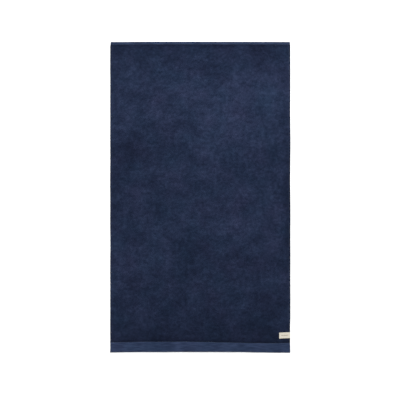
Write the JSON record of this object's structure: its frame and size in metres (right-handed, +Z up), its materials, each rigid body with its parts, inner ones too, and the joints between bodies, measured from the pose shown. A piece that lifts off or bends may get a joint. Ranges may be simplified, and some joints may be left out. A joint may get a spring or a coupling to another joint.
{
  "type": "quick dry towel",
  "caption": "Flat rectangular terry towel with a wide flat-woven hem band at one end, narrow turned hems elsewhere and a folded woven edge label that flips outwards.",
  "frame": {"origin": "on the surface the towel lies on, under the middle of the towel", "axes": "+Z up out of the face, +Y along the length to the narrow top hem, +X across the width to the edge that carries the label"},
  "size_m": [0.7507, 1.3, 0.0067],
  "materials": {
    "terry_pile": "matt loop pile, navy, softly mottled by the nap",
    "ground_weave": "plain woven ground between the piles, navy",
    "band_weave": "flat weave with fine cross ribs, lighter slate navy",
    "side_weave": "flat selvedge weave, navy",
    "sewing_thread": "spun polyester lockstitch thread, slight sheen, navy",
    "label_ribbon": "woven ribbon, cream white, with a plain brown chain of lozenges"
  },
  "bodies": {
    "towel": {"ground_cloth": "ground_weave", "front_pile": "terry_pile", "back_pile": "terry_pile", "end_band": "band_weave", "top_hem": "band_weave", "left_hem": "side_weave", "right_hem": "side_weave", "end_band_needle_thread": "sewing_thread", "end_band_bobbin_thread": "sewing_thread", "top_hem_needle_thread": "sewing_thread", "top_hem_bobbin_thread": "sewing_thread", "left_hem_needle_thread": "sewing_thread", "left_hem_bobbin_thread": "sewing_thread", "right_hem_needle_thread": "sewing_thread", "right_hem_bobbin_thread": "sewing_thread", "top_left_tack": "sewing_thread", "top_right_tack": "sewing_thread", "bottom_left_tack": "sewing_thread", "bottom_right_tack": "sewing_thread", "label_tail": "label_ribbon"},
    "label": {"label_flap": "label_ribbon"}
  },
  "joints": [
    {"name": "label_flip", "type": "hinge", "parent": "towel", "child": "label", "pos_m": [0.3757, -0.579, 0.0034], "axis": [0, 1, 0], "range_deg": [0, 180]}
  ]
}
